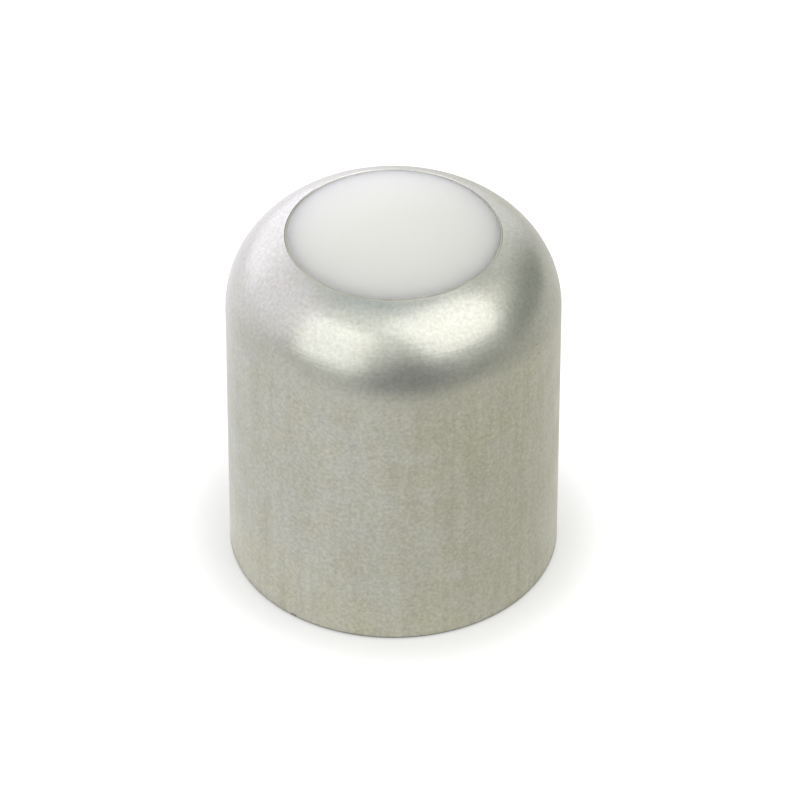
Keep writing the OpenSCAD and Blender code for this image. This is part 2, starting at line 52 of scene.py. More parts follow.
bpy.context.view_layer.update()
body_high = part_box("housing")[1]
body_radius = body_high.x


# %% [markdown]
# Blender counts in metres and in linear light. A maker thinks in millimetres, and picks a colour
# as a picture program shows it, from 0 to 255. Two small helpers turn one into the other, so every
# size and colour below can be read the way it would be written on a drawing.

# %% Millimetres and colours
MM = 0.001


def shade(red, green, blue):
    """A colour from 0 to 255, as a picture shows it, in the linear light that shaders use."""
    linear = []
    for value in (red, green, blue):
        share = value / 255
        linear.append(share / 12.92 if share <= 0.04045 else ((share + 0.055) / 1.055) ** 2.4)
    return (*linear, 1.0)


print("a picture's mid grey 128 is", round(shade(128, 128, 128)[0], 3), "in linear light")


# %% [markdown]
# The photograph was taken from well above, with a long lens that keeps the sides of the can almost
# parallel. A camera can be set by eye, or worked out from the outline: the ellipse of the opal disc
# gives the height of the view, and the slight taper of the walls gives the distance. The second way
# was used, so the camera stands 577 mm away at 38.65 degrees, a little off centre.

# %% The camera
camera_aim = Vector((0, 0, 17.5 * MM))
camera_distance = 577 * MM
camera_elevation = math.radians(38.65)
camera_back = Vector((0, -math.cos(camera_elevation), math.sin(camera_elevation)))
camera_data = bpy.data.cameras.new("camera")
camera_data.sensor_width = 36
camera_data.lens = 283.4
camera_data.shift_x = 0.00815
camera_data.shift_y = -0.01746
camera_data.clip_start = 10 * MM
camera = bpy.data.objects.new("camera", camera_data)
camera.location = camera_aim + camera_back * camera_distance
camera.rotation_euler = (math.pi / 2 - camera_elevation, 0, 0)
scene.collection.objects.link(camera)
scene.camera = camera
scene.view_settings.view_transform = "Standard"
print("camera at", [round(v * 1000) for v in camera.location], "mm")


# %% [markdown]
# Every finish below is a small web of shader nodes. Wiring it by hand in code soon hides the idea,
# so a few helpers do it. Put lays a node down and fills its sockets, each with a value or with
# another node's output. Calc is one step of arithmetic, spread turns a value's range into another
# one, fade does so softly, and blend mixes two colours.

# %% Helpers that wire nodes
def put(tree, kind, sockets=None, **settings):
    """A new node in the tree. A socket is filled with a value or with another node's output."""
    made = tree.nodes.new(kind)
    for name, value in settings.items():
        setattr(made, name, value)
    for name, value in (sockets or {}).items():
        if isinstance(value, bpy.types.NodeSocket):
            tree.links.new(value, made.inputs[name])
        else:
            made.inputs[name].default_value = value
    return made


def calc(tree, operation, first, second=0.0):
    """One step of arithmetic between two values."""
    return put(tree, "ShaderNodeMath", {0: first, 1: second}, operation=operation).outputs[0]


def spread(tree, value, low, high, new_low, new_high, curve="LINEAR"):
    """A value that runs from low to high, made to run from new_low to new_high."""
    ends = {"Value": value, "From Min": low, "From Max": high, "To Min": new_low, "To Max": new_high}
    return put(tree, "ShaderNodeMapRange", ends, interpolation_type=curve).outputs["Result"]


def fade(tree, value, low, high, new_low=0, new_high=1):
    """The same with a soft start and a soft end, from 0 to 1 if nothing else is said."""
    return spread(tree, value, low, high, new_low, new_high, "SMOOTHSTEP")


def blend(tree, share, first, second):
    """A colour between two colours. Sockets 6 and 7 are the node's colours, and output 2 too."""
    mixed = put(tree, "ShaderNodeMix", {0: share, 6: first, 7: second}, data_type="RGBA")
    return mixed.outputs[2]


def from_the_axis(tree, apart):
    """How far a place lies from the can's axis. It is given with its X, Y and Z apart."""
    level = put(tree, "ShaderNodeCombineXYZ", {"X": apart["X"], "Y": apart["Y"]}).outputs[0]
    return put(tree, "ShaderNodeVectorMath", {0: level}, operation="LENGTH").outputs["Value"]


print("wiring helpers: put, calc, spread, fade, blend and from_the_axis")


# %% [markdown]
# The floor is a sheet of white paper. The camera looks down on it from the front, so it reaches
# further back than forward.

# %% The paper floor
paper_near = 130 * MM
paper_far = 500 * MM
paper_side = 400 * MM
paper_corners = [
    (-paper_side, -paper_near, 0),
    (paper_side, -paper_near, 0),
    (paper_side, paper_far, 0),
    (-paper_side, paper_far, 0),
]
paper_mesh = bpy.data.meshes.new("paper_floor")
paper_mesh.from_pydata(paper_corners, [], [(0, 1, 2, 3)])
paper_floor = bpy.data.objects.new("paper_floor", paper_mesh)
scene.collection.objects.link(paper_floor)
print("paper", round(2 * paper_side / MM), "by", round((paper_near + paper_far) / MM), "mm")


# %% [markdown]
# The paper isn't equally bright everywhere, so its shader starts with zones. Each is a share from 0
# to 1 that fades across the sheet, worked out from a place's X and Y or from its distance to the
# can's axis. X runs to the right and Y to the back.

# %% Zones on the paper
def new_shader(name):
    """A material with an empty tree and its output node."""
    material = bpy.data.materials.new(name)
    material.use_nodes = True
    material.node_tree.nodes.clear()
    return material, material.node_tree, put(material.node_tree, "ShaderNodeOutputMaterial")


paper, tree, out = new_shader("white_paper")
paper_mesh.materials.append(paper)
paper_place = put(tree, "ShaderNodeTexCoord").outputs["Object"]
where = put(tree, "ShaderNodeSeparateXYZ", {0: paper_place}).outputs
distance = from_the_axis(tree, where)
near_can = fade(tree, distance, body_radius + 1.0 * MM, body_radius + 10 * MM, 1, 0)
outside_edge = fade(tree, distance, body_radius - 0.3 * MM, body_radius + 0.6 * MM, 1, 0)
inside_edge = fade(tree, distance, body_radius - 0.7 * MM, body_radius - 0.2 * MM)
under_edge = calc(tree, "MULTIPLY", outside_edge, inside_edge)
to_the_right = fade(tree, where["X"], -25 * MM, 35 * MM)
far_right = fade(tree, where["X"], 55 * MM, 100 * MM)
to_the_left = fade(tree, where["X"], 20 * MM, -40 * MM)
to_the_front = fade(tree, where["Y"], -50 * MM, -100 * MM)
to_the_back = fade(tree, where["Y"], 2 * MM, 60 * MM)
back_left = calc(tree, "MULTIPLY", to_the_back, to_the_left)
print("zones made with", len(tree.nodes), "nodes")


# %% [markdown]
# In the photograph the paper is so bright that only a faint shadow close to the can is left of it. A
# brighter lamp would do that too, but it would burn out the metal. So the paper keeps a plain light
# level where it lights the can, and is lifted to white only where the camera or a reflection sees
# it. The lift is weaker close to the can, which leaves the soft contact shadow, and what the metal
# mirrors is brighter on the left and behind than in front, as in the photograph. A dark ring lies
# under the can's edge, since hardly any light gets there. Seen from below the paper isn't there, so
# the base can be seen.

# %% How bright the paper looks
def seen_directly(tree):
    """1 for what the camera, a reflection or glass sees, and 0 for light that bounces about."""
    path = put(tree, "ShaderNodeLightPath").outputs
    either = calc(tree, "MAXIMUM", path["Is Camera Ray"], path["Is Glossy Ray"])
    return calc(tree, "MAXIMUM", either, path["Is Transmission Ray"])


shadow_reach = 6.5 * MM
shadow_lift = 0.36
white_lift = 0.60
contact = fade(
    tree,
    distance,
    body_radius,
    body_radius + shadow_reach,
    shadow_lift,
    white_lift,
)
left_glow = blend(tree, near_can, (0.72, 0.72, 0.74, 1), (0.79, 0.78, 0.74, 1))
front_glow = blend(tree, to_the_right, (0.44, 0.44, 0.45, 1), (0.20, 0.20, 0.19, 1))
zone_glows = [
    (to_the_right, (0.51, 0.50, 0.43, 1)),
    (far_right, (0.30, 0.30, 0.26, 1)),
    (to_the_front, front_glow),
    (to_the_back, (0.58, 0.57, 0.55, 1)),
    (back_left, (1.08, 1.04, 1.18, 1)),
    (under_edge, (0.05, 0.05, 0.06, 1)),
]
mirrored_glow = left_glow
for zone, zone_glow in zone_glows:
    mirrored_glow = blend(tree, zone, mirrored_glow, zone_glow)

by_camera = put(tree, "ShaderNodeLightPath").outputs["Is Camera Ray"]
glow_colour = blend(tree, by_camera, mirrored_glow, contact)
faint_colour = blend(tree, by_camera, (0.45, 0.45, 0.45, 1), (0.70, 0.70, 0.70, 1))
plain = put(tree, "ShaderNodeBsdfDiffuse", {"Color": (0.8, 0.8, 0.8, 1)})
faint = put(tree, "ShaderNodeBsdfDiffuse", {"Color": faint_colour})
glow = put(tree, "ShaderNodeEmission", {"Color": glow_colour, "Strength": 1.0})
lifted = put(tree, "ShaderNodeAddShader", {0: faint.outputs[0], 1: glow.outputs[0]})
chosen = {0: seen_directly(tree), 1: plain.outputs[0], 2: lifted.outputs[0]}
paper_light = put(tree, "ShaderNodeMixShader", chosen)
below = put(tree, "ShaderNodeNewGeometry").outputs["Backfacing"]
clear = put(tree, "ShaderNodeBsdfTransparent")
sides = {0: below, 1: paper_light.outputs[0], 2: clear.outputs[0]}
one_sided = put(tree, "ShaderNodeMixShader", sides)
tree.links.new(one_sided.outputs[0], out.inputs["Surface"])
print("the paper's shader has", len(tree.nodes), "nodes")


# %% [markdown]
# Satin metal has hardly a colour of its own: it shows the room. The can in the photograph shows a
# bright room on the left and behind, and a dark one in front and on the right. Real cards could
# stand there, but they would also be in the way when the camera goes round. A world that is brighter
# or darker in some directions does the same: each patch below is a soft round spot in one direction,
# laid over those above it. The patches are only for reflections. The camera sees plain white, and
# the light that falls on dull surfaces comes mostly from behind on the left, as the soft shading of
# the disc shows.

# %% The room around it
def toward(azimuth, elevation):
    """A direction: azimuth 0 is towards the photographer and 90 is to the right, in degrees."""
    turn = math.radians(azimuth)
    rise = math.radians(elevation)
    level = math.cos(rise)
    return Vector((math.sin(turn) * level, -math.cos(turn) * level, math.sin(rise)))


def patch(tree, facing, azimuth, elevation, inner, outer):
    """1 within inner degrees of a direction, fading to 0 at outer degrees."""
    aim = {0: facing, 1: toward(azimuth, elevation)}
    along = put(tree, "ShaderNodeVectorMath", aim, operation="DOT_PRODUCT").outputs["Value"]
    return fade(tree, along, math.cos(math.radians(outer)), math.cos(math.radians(inner)))


# Azimuth, elevation, inner and outer degrees of each patch, and its light.
room_patches = [
    (-108, 27, 14, 43, (1.50, 1.46, 1.67, 1)),  # bright wall on the left
    (180, 7, 20, 62, (1.32, 1.33, 1.37, 1)),  # bright wall behind
    (-154, 3, 15, 46, (2.12, 2.07, 2.40, 1)),  # brightest of all, behind on the left
    (-42, 65, 10, 28, (1.36, 1.40, 1.42, 1)),  # ceiling in front on the left
    (-160, 76, 6, 28, (0.86, 0.95, 1.03, 1)),  # cooler ceiling behind
    (99, 38, 5, 22, (1.36, 1.38, 1.34, 1)),  # small bright spot, high on the right
    (12, -6, 14, 42, (0.37, 0.38, 0.39, 1)),  # dark in front
    (58, -18, 12, 32, (0.44, 0.45, 0.42, 1)),  # dark and low, in front on the right
    (113, -2, 14, 45, (0.43, 0.46, 0.43, 1)),  # dark on the right
]

world = bpy.data.worlds.new("studio_room")
world.use_nodes = True
world.cycles.sampling_method = "NONE"
scene.world = world
tree = world.node_tree
tree.nodes.clear()
facing = put(tree, "ShaderNodeTexCoord").outputs["Generated"]
room = (0.90, 0.91, 0.91, 1)
for azimuth, elevation, inner, outer, light in room_patches:
    room = blend(tree, patch(tree, facing, azimuth, elevation, inner, outer), room, light)
path = put(tree, "ShaderNodeLightPath").outputs
mirrored = calc(tree, "MAXIMUM", path["Is Glossy Ray"], path["Is Transmission Ray"])
from_behind = patch(tree, facing, -148, 34, 20, 88)
even = blend(tree, from_behind, (0.09, 0.09, 0.04, 1), (0.93, 0.935, 0.93, 1))
seen = blend(tree, mirrored, even, room)
seen = blend(tree, path["Is Camera Ray"], seen, (1, 1, 1, 1))
background = put(tree, "ShaderNodeBackground", {"Color": seen})
out = put(tree, "ShaderNodeOutputWorld")
tree.links.new(background.outputs[0], out.inputs["Surface"])
print("room made with", len(tree.nodes), "nodes")


# %% [markdown]
# Two soft patches of light lie on the front of the shoulder, a paler one on the left and a brighter
# one on the right, with a darker gap between them. They are the mirror images of two softboxes,
# so two square area lamps hang where a ray from the camera, mirrored there, leads to.

# %% Two softboxes
softbox_distance = 600 * MM


def softbox(name, azimuth, elevation, side, brightness, colour):
    """A square lamp that faces the can. Its power follows from its brightness and its area."""
    lamp = bpy.data.lights.new(name, "AREA")
    lamp.shape = "SQUARE"
    lamp.size = side
    lamp.energy = brightness * math.pi * side * side
    lamp.color = colour
    hung = bpy.data.objects.new(name, lamp)
    away = toward(azimuth, elevation)
    hung.location = camera_aim + away * softbox_distance
    hung.rotation_euler = away.to_track_quat("Z", "Y").to_euler()
    hung.visible_camera = False
    scene.collection.objects.link(hung)
    print(name, "gives", round(lamp.energy, 2), "W")


softbox("softbox_left", -44, 32, 530 * MM, 1.12, (1.0, 1.0, 1.04))
softbox("softbox_right", 54, 51, 595 * MM, 1.48, (1.0, 1.0, 1.03))


# %% [markdown]
# Several finishes share the same small effects: a fine grain, the marks of turning on a lathe,
# upright streaks of painted reflection, smudges from handling, and edges rubbed bright. Each is a
# node group, built once with named sockets, so that a material only says how large and how deep
# it is. All of them measure the place on the part in millimetres, so a grain of 0.2 is a grain of
# 0.2 mm on any part.

# %% Shared effects: grain
def new_group(name, inputs, outputs):
    """A node group with named sockets: inputs are (name, kind, value), outputs are (name, kind)."""
    group = bpy.data.node_groups.new(name, "ShaderNodeTree")
    for label, kind, value in inputs:
        socket = group.interface.new_socket(name=label, in_out="INPUT", socket_type="NodeSocket" + kind)
        socket.default_value = value
    for label, kind in outputs:
        group.interface.new_socket(name=label, in_out="OUTPUT", socket_type="NodeSocket" + kind)
    return group, put(group, "NodeGroupInput"), put(group, "NodeGroupOutput")


def give(group, out, **results):
    """Joins the results to the group's named outputs."""
    for name, socket in results.items():
        group.links.new(socket, out.inputs[name])


grain_group, have, out = new_group(
    "grain",
    [("Place", "Vector", (0, 0, 0)), ("Size", "Float", 0.2), ("Depth", "Float", 0.002)],
    [("Tone", "Float"), ("Height", "Float")],
)
fineness = calc(grain_group, "DIVIDE", 1.0, have.outputs["Size"])
specks = put(
    grain_group,
    "ShaderNodeTexNoise",
    {"Vector": have.outputs["Place"], "Scale": fineness, "Detail": 2.5, "Roughness": 0.6},
)
give(
    grain_group,
    out,
    Tone=specks.outputs["Fac"],
    Height=calc(grain_group, "MULTIPLY", specks.outputs["Fac"], have.outputs["Depth"]),
)
print("grain has", len(grain_group.nodes), "nodes")


# %% [markdown]
# A lathe tool leaves fine rings: the surface changes fast along the can's height and radius, and
# hardly at all round the axis. So this noise is read at the radius and the height, divided by the
# spacing of the rings, and at the direction round the axis, written as a cosine and a sine so that
# no seam shows where the angle starts again.

# %% Shared effects: turning marks
turned_group, have, out = new_group(
    "turning_marks",
    [("Place", "Vector", (0, 0, 0)), ("Spacing", "Float", 0.25), ("Depth", "Float", 0.002)],
    [("Tone", "Float"), ("Height", "Float")],
)
apart = put(turned_group, "ShaderNodeSeparateXYZ", {0: have.outputs["Place"]}).outputs
across = from_the_axis(turned_group, apart)
ring_change = 1.2
cosine = calc(turned_group, "DIVIDE", apart["X"], across)
sine = calc(turned_group, "DIVIDE", apart["Y"], across)
rings = put(
    turned_group,
    "ShaderNodeCombineXYZ",
    {
        "X": calc(turned_group, "DIVIDE", across, have.outputs["Spacing"]),
        "Y": calc(turned_group, "DIVIDE", apart["Z"], have.outputs["Spacing"]),
        "Z": calc(turned_group, "MULTIPLY", cosine, ring_change),
    },
)
marks = put(
    turned_group,
    "ShaderNodeTexNoise",
    {
        "Vector": rings.outputs[0],
        "W": calc(turned_group, "MULTIPLY", sine, ring_change),
        "Scale": 1.0,
        "Detail": 2.0,
    },
    noise_dimensions="4D",
)
give(
    turned_group,
    out,
    Tone=marks.outputs["Fac"],
    Height=calc(turned_group, "MULTIPLY", marks.outputs["Fac"], have.outputs["Depth"]),
)
print("turning_marks has", len(turned_group.nodes), "nodes")


# %% [markdown]
# On the straight wall the photograph shows upright streaks instead of rings: the turning marks
# smear the room's reflection upwards. Here they are painted reflection, a noise squeezed sideways
# and drawn out in height that lightens and darkens the metal's colour. Smudges are the opposite: one
# large, soft noise with its middle tones pushed apart, which makes patches a little shinier or duller
# than the rest.

# %% Shared effects: painted reflection streaks and smudges
# Painted reflection: streaks of tone, drawn out upright, that stand in for smeared reflections.
painted_streak_group, have, out = new_group(
    "painted_streaks",
    [("Place", "Vector", (0, 0, 0)), ("Width", "Float", 0.3), ("Length", "Float", 8.0)],
    [("Tone", "Float")],
)
apart = put(painted_streak_group, "ShaderNodeSeparateXYZ", {0: have.outputs["Place"]}).outputs
drawn = put(
    painted_streak_group,
    "ShaderNodeCombineXYZ",
    {
        "X": calc(painted_streak_group, "DIVIDE", apart["X"], have.outputs["Width"]),
        "Y": calc(painted_streak_group, "DIVIDE", apart["Y"], have.outputs["Width"]),
        "Z": calc(painted_streak_group, "DIVIDE", apart["Z"], have.outputs["Length"]),
    },
)
runs = put(
    painted_streak_group,
    "ShaderNodeTexNoise",
    {"Vector": drawn.outputs[0], "Scale": 1.0, "Detail": 3.0},
)
give(painted_streak_group, out, Tone=runs.outputs["Fac"])

smudge_group, have, out = new_group(
    "smudges",
    [("Place", "Vector", (0, 0, 0)), ("Size", "Float", 6.0)],
    [("Mask", "Float")],
)
clouds = put(
    smudge_group,
    "ShaderNodeTexNoise",
    {
        "Vector": have.outputs["Place"],
        "Scale": calc(smudge_group, "DIVIDE", 1.0, have.outputs["Size"]),
        "Detail": 3.0,
        "Roughness": 0.55,
        "Distortion": 0.4,
    },
)
give(smudge_group, out, Mask=fade(smudge_group, clouds.outputs["Fac"], 0.35, 0.65))
print("streaks and smudges have", len(painted_streak_group.nodes), "and", len(smudge_group.nodes), "nodes")


# %% [markdown]
# Corners are rubbed first. Blender's Bevel node gives the normal that a rounded corner would have,
# so wherever it differs from the real normal there is an edge within reach. A little noise breaks
# the line up, as real wear is never even.

# %% Shared effects: edge wear
wear_group, have, out = new_group(
    "edge_wear",
    [("Place", "Vector", (0, 0, 0)), ("Reach", "Float", 0.15)],
    [("Mask", "Float")],
)
rounded = put(
    wear_group,
    "ShaderNodeBevel",
    {"Radius": calc(wear_group, "MULTIPLY", have.outputs["Reach"], MM)},
    samples=6,
)
flat = put(wear_group, "ShaderNodeNewGeometry").outputs["Normal"]
normals = {0: rounded.outputs[0], 1: flat}
agree = put(wear_group, "ShaderNodeVectorMath", normals, operation="DOT_PRODUCT")
corner = spread(wear_group, agree.outputs["Value"], 0.98, 0.80, 0, 1)
broken = put(
    wear_group,
    "ShaderNodeTexNoise",
    {"Vector": have.outputs["Place"], "Scale": 1.6, "Detail": 3.0},
)
patchy = spread(wear_group, broken.outputs["Fac"], 0.35, 0.6, 0.25, 1)
give(wear_group, out, Mask=calc(wear_group, "MULTIPLY", corner, patchy))
print("edge_wear has", len(wear_group.nodes), "nodes")


# %% [markdown]
# Each finish starts the same way: a Principled shader, and the place on the part in millimetres.
# A finish is then a few lines: lay down the effects, mix two near colours by their tones, join the
# result to colour, roughness and bump, and hold the other sockets at fixed values.

# %% Helpers that start a finish and put it on
def new_finish(name):
    """A material with a Principled shader. Gives the material, its tree, the shader and the place."""
    material, tree, out = new_shader(name)
    skin = put(tree, "ShaderNodeBsdfPrincipled")
    tree.links.new(skin.outputs[0], out.inputs["Surface"])
    where = put(tree, "ShaderNodeTexCoord").outputs["Object"]
    scaled = put(tree, "ShaderNodeVectorMath", {0: where, "Scale": 1 / MM}, operation="SCALE")
    return material, tree, skin, scaled.outputs[0]


def effect(tree, group, place, **sockets):
    """One of the shared effects, placed in a finish with its own values."""
    made = put(tree, "ShaderNodeGroup", node_tree=group)
    tree.links.new(place, made.inputs["Place"])
    for name, value in sockets.items():
        made.inputs[name].default_value = value
    return made.outputs


def wire(tree, skin, **sockets):
    """Joins outputs to the shader's sockets. An underscore in a name stands for a space."""
    for name, socket in sockets.items():
        tree.links.new(socket, skin.inputs[name.replace("_", " ")])


def hold(skin, **values):
    """Sets sockets of the shader to fixed values. An underscore stands for a space here too."""
    for name, value in values.items():
        skin.inputs[name.replace("_", " ")].default_value = value


def emboss(tree, skin, height):
    """Lets a height in millimetres shape the surface."""
    raised = put(tree, "ShaderNodeBump", {"Height": height, "Distance": MM, "Strength": 1.0})
    wire(tree, skin, Normal=raised.outputs[0])


def finish_parts(material, *names):
    """Puts a finish on CAD parts."""
    for name in names:
        for holder in parts[name].material_slots:
            holder.material = material
    print(material.name, "is on", ", ".join(names))


print("finish helpers: new_finish, effect, wire, hold, emboss and finish_parts")


# %% [markdown]
# The can is aluminium, turned and then anodised clear, which leaves a soft satin with a faint warm
# grey. It could be a diffuse grey, but then it would stay dull from every side, so it is a true
# metal with medium roughness. Its rings on the shoulder and its specks are small bumps that break
# up the reflections. The streaks on the wall only change its tone: they are painted reflection, in
# place of the room's reflection drawn upwards by the turning marks. Anodising is never quite even in
# colour either, so a second tone wanders between warm and cool, mostly on the wall. The photograph
# also shows three tiny pits on the right and a nick in the bottom edge, each made of one or two
# small round masks. They are dented a little, and darkened with painted shade.

# %% Satin aluminium
def mark_at(tree, place, centre, reach):
    """1 at a place in millimetres, fading to 0 at reach."""
    away = put(tree, "ShaderNodeVectorMath", {0: place, 1: centre}, operation="DISTANCE")
    return fade(tree, away.outputs["Value"], reach, reach * 0.35)


# The place and the reach of each small mark, in millimetres.
pits = [
    ((13.02, -7.80, 27.55), 0.15),
    ((12.86, -7.90, 28.60), 0.13),
    ((12.66, -8.38, 27.40), 0.12),
]
nick = [
    ((-9.25, -12.12, 0.32), 0.20),
    ((-9.02, -12.29, 0.30), 0.17),
]
mark_depth = 0.05
shoulder_starts = 25.5
shoulder_full = 28.5
painted_reflection_share = 0.35
wall_contrast = 1.75
shoulder_contrast = 1.35
shoulder_warmth = 0.3

aluminium, tree, skin, place = new_finish("satin_aluminium")
grain = effect(tree, grain_group, place, Size=0.34, Depth=0.0055)
marks = effect(tree, turned_group, place, Spacing=0.24, Depth=0.0095)
painted_streaks = effect(tree, painted_streak_group, place, Width=0.8, Length=12.0)
smudges = effect(tree, smudge_group, place, Size=7.0)
tint = effect(tree, smudge_group, place, Size=2.8)
wear = effect(tree, wear_group, place, Reach=0.12)
height_on_can = put(tree, "ShaderNodeSeparateXYZ", {0: place}).outputs["Z"]
on_shoulder = fade(tree, height_on_can, shoulder_starts, shoulder_full)
on_wall = calc(tree, "SUBTRACT", 1.0, on_shoulder)

# Painted reflection: the upright streaks lighten and darken the wall's colour.
painted_reflection_tone = calc(tree, "MULTIPLY", on_wall, calc(tree, "SUBTRACT", painted_streaks["Tone"], 0.5))
tone = calc(tree, "ADD", grain["Tone"], calc(tree, "MULTIPLY", painted_reflection_tone, painted_reflection_share))
contrast = spread(tree, on_shoulder, 0, 1, wall_contrast, shoulder_contrast)
tone = calc(tree, "ADD", 0.5, calc(tree, "MULTIPLY", calc(tree, "SUBTRACT", tone, 0.5), contrast))
cool_metal = blend(tree, tone, shade(160, 160, 150), shade(190, 190, 180))
warm_metal = blend(tree, tone, shade(157, 156, 142), shade(188, 187, 173))
warmth = calc(tree, "MULTIPLY", tint["Mask"], spread(tree, on_shoulder, 0, 1, 1, shoulder_warmth))
metal = blend(tree, warmth, cool_metal, warm_metal)
metal = blend(tree, wear["Mask"], metal, shade(205, 204, 198))

# Painted shade: the pits and the nick are darkened as if shade lay in them, and dented below.
dent_and_shade_marks = 0.0
for centre, reach in pits + nick:
    dent_and_shade_marks = calc(tree, "MAXIMUM", dent_and_shade_marks, mark_at(tree, place, centre, reach))
metal = blend(tree, calc(tree, "MULTIPLY", dent_and_shade_marks, 0.7), metal, shade(98, 98, 92))

ring_height = calc(tree, "MULTIPLY", marks["Height"], on_shoulder)
relief = calc(tree, "ADD", grain["Height"], ring_height)
relief = calc(tree, "SUBTRACT", relief, calc(tree, "MULTIPLY", dent_and_shade_marks, mark_depth))
wire(tree, skin, Base_Color=metal, Roughness=spread(tree, smudges["Mask"], 0, 1, 0.27, 0.33))
emboss(tree, skin, relief)
hold(skin, Metallic=1.0)
finish_parts(aluminium, "housing")


# %% [markdown]
# The base and the ring of adhesive get more detail below than their CAD parts have. Both need
# closed meshes made from points, and most of these points go round the axis. Two helpers make them.

# %% Helpers for closed meshes
def closed_mesh(name, points, faces):
    """A mesh from points in millimetres, with all its faces turned outwards."""
    mesh = bpy.data.meshes.new(name)
    mesh.from_pydata([[value * MM for value in point] for point in points], [], faces)
    shell = bmesh.new()
    shell.from_mesh(mesh)
    bmesh.ops.recalc_face_normals(shell, faces=shell.faces)
    shell.to_mesh(mesh)
    shell.free()
    return mesh


def ring_point(radius, turn, height):
    """A point at a radius and a height, with the turn given in whole turns."""
    angle = 2 * math.pi * turn
    return (radius * math.cos(angle), radius * math.sin(angle), height)


print("a point after a quarter turn:", [round(v, 3) for v in ring_point(1, 0.25, 0)])


# %% [markdown]
# The tapped hole in the base takes the mounting screw. The CAD part has a plain bore there, as wide
# as the tap's drill, because a thread is slow to build and to check as a solid. Here it is cut as in
# a workshop. The tap is one small profile, a V with a flat top, carried up and round a helix, with a
# tapered lead so that its last two turns run out. A second cutter sinks the mouth of the hole.

# %% A tap and a countersink
thread_outer = 2.413
thread_inner = 1.9
thread_pitch = 0.79375
thread_half_angle = math.radians(30)
lead_turns = 2
lead_depth = 0.15


def make_tap(start, turns, steps):
    """A right-handed screw thread as a closed solid, from start upwards, tapered at its far end."""
    last = turns * steps
    flat = thread_pitch / 16
    foot = flat + (thread_outer - thread_inner) * math.tan(thread_half_angle)
    points = []
    for step in range(last + 1):
        lead = min(1, (last - step) / (lead_turns * steps))
        depth = lead_depth + (1 - lead_depth) * lead
        top = thread_inner + (thread_outer - thread_inner) * depth
        climb = start + thread_pitch * step / steps
        profile = ((thread_inner, -foot), (top, -flat), (top, flat), (thread_inner, foot))
        for radius, offset in profile:
            points.append(ring_point(radius, step / steps, climb + offset))
    # Three sides of the profile, and the band between a turn and the turn above it.
    faces = []
    for step in range(last):
        here, there = 4 * step, 4 * step + 4
        for side in range(3):
            faces.append((here + side, there + side, there + side + 1, here + side + 1))
        if step + 1 + steps <= last:
            above = 4 * steps
            faces.append((here + 3, there + 3, there + above, here + above))
    # A fan round a point on the axis closes each end.
    low_edge = [4 * step for step in range(steps + 1)] + [3, 2, 1]
    high_edge = [4 * step + 3 for step in range(last - steps, last + 1)]
    high_edge += [4 * last + 2, 4 * last + 1, 4 * last]
    low_end = start + thread_pitch / 2
    high_end = start + thread_pitch * (turns - 0.5)
    for edge, height in ((low_edge, low_end), (high_edge, high_end)):
        centre = len(points)
        points.append((0, 0, height))
        for first, second in zip(edge, edge[1:] + edge[:1]):
            faces.append((first, second, centre))
    return closed_mesh("tap", points, faces)


def make_cone(low_radius, low, high_radius, high, steps):
    """A closed cone with its ends cut off."""
    points = [ring_point(low_radius, step / steps, low) for step in range(steps)]
    points += [ring_point(high_radius, step / steps, high) for step in range(steps)]
    faces = []
    for step in range(steps):
        after = (step + 1) % steps
        faces.append((step, after, steps + after, steps + step))
    faces.append(tuple(range(steps)))
    faces.append(tuple(range(steps, 2 * steps)))
    return closed_mesh("countersink", points, faces)


tap = make_tap(start=-1.2, turns=9, steps=64)
countersink = make_cone(low_radius=2.75, low=-0.25, high_radius=1.95, high=0.55, steps=96)
print("tap", len(tap.polygons), "faces, countersink", len(countersink.polygons), "faces")


# %% [markdown]
# Blender's Boolean modifier subtracts both cutters from a copy of the plate. The copy's points are
# first joined where faces meet, since a solid has to be closed to be cut. The result is kept as a
# plain mesh, and the cutters are thrown away. Smooth shading suits its round holes, but it would
# leave stains on the flat underside, so faces that lie level are shaded flat.

# %% The tapped base plate
joining_reach = 0.0001 * MM
crisp_angle = math.radians(32)
level_normal = 0.9999


def copy_of(node, name):
    """A new object with a CAD part's mesh, its faces joined along their edges."""
    solid = bmesh.new()
    solid.from_mesh(parts[node].data)
    bmesh.ops.remove_doubles(solid, verts=solid.verts, dist=joining_reach)
    mesh = bpy.data.meshes.new(name)
    solid.to_mesh(mesh)
    solid.free()
    mesh.materials.clear()
    made = bpy.data.objects.new(name, mesh)
    scene.collection.objects.link(made)
    return made


def cut(piece, *cutters):
    """Subtracts closed meshes from a piece and keeps the result as its mesh."""
    tools = []
    for cutter in cutters:
        tool = bpy.data.objects.new(cutter.name, cutter)
        scene.collection.objects.link(tool)
        step = piece.modifiers.new(cutter.name, "BOOLEAN")
        step.operation = "DIFFERENCE"
        step.solver = "EXACT"
        step.object = tool
        tools.append(tool)
    view = bpy.context.evaluated_depsgraph_get()
    result = bpy.data.meshes.new_from_object(piece.evaluated_get(view))
    piece.modifiers.clear()
    piece.data = result
    for tool in tools:
        bpy.data.objects.remove(tool)


def dress(piece, material, slot, *replaced):
    """Gives a piece its finish, smooth faces with crisp edges and its body. The slot is not used."""
    piece.data.materials.clear()
    piece.data.materials.append(material)
    piece.data.shade_smooth()
    piece.data.set_sharp_from_angle(angle=crisp_angle)
    for face in piece.data.polygons:
        face.use_smooth = abs(face.normal.z) < level_normal
    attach(piece, "head")
    if replaced:
        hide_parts(*replaced)
    print(piece.name, len(piece.data.polygons), "faces")


tapped_base = copy_of("base_plate", "tapped_base")
cut(tapped_base, countersink, tap)
dress(tapped_base, aluminium, "housing_aluminium", "base_plate")


# %% [markdown]
# The disc in the top is opal acrylic, which spreads the light that falls on it so that the sensor
# below sees it from all sides alike. Light goes into it, scatters and comes out a little further,
# so its edge looks softer and darker than its middle. Subsurface scattering does just that, and a
# plain white paint wouldn't. Its gloss is soft.

